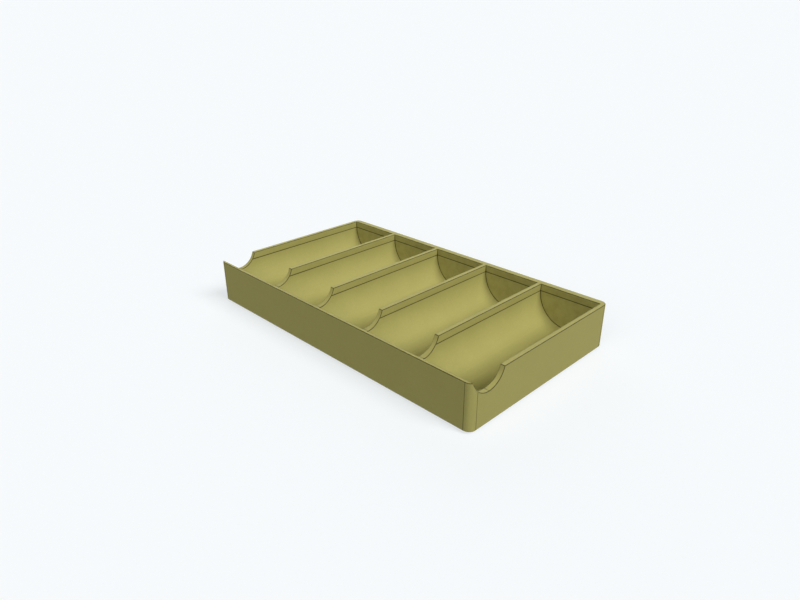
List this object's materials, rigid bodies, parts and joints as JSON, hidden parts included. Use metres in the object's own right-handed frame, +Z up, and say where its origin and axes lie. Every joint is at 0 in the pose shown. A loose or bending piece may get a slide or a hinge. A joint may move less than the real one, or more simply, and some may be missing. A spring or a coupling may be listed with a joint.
{
  "type": "game piece tray",
  "caption": "Open low tray with half-round wells side by side, thin dividers, rounded upright corners, a thumb scoop across the front and small rubber feet.",
  "frame": {"origin": "middle of the footprint, on the plane that the four feet stand on", "axes": "+X to the right along the row of wells, +Y to the back wall, +Z up; the front with the thumb scoop faces -Y"},
  "size_m": [0.147, 0.0834, 0.0195],
  "materials": {
    "tray_plastic": "matte olive khaki",
    "foot_rubber": "matte black"
  },
  "bodies": {
    "root": {"tray_body": "tray_plastic", "foot_front_left": "foot_rubber", "foot_front_right": "foot_rubber", "foot_back_left": "foot_rubber", "foot_back_right": "foot_rubber"}
  },
  "joints": []
}
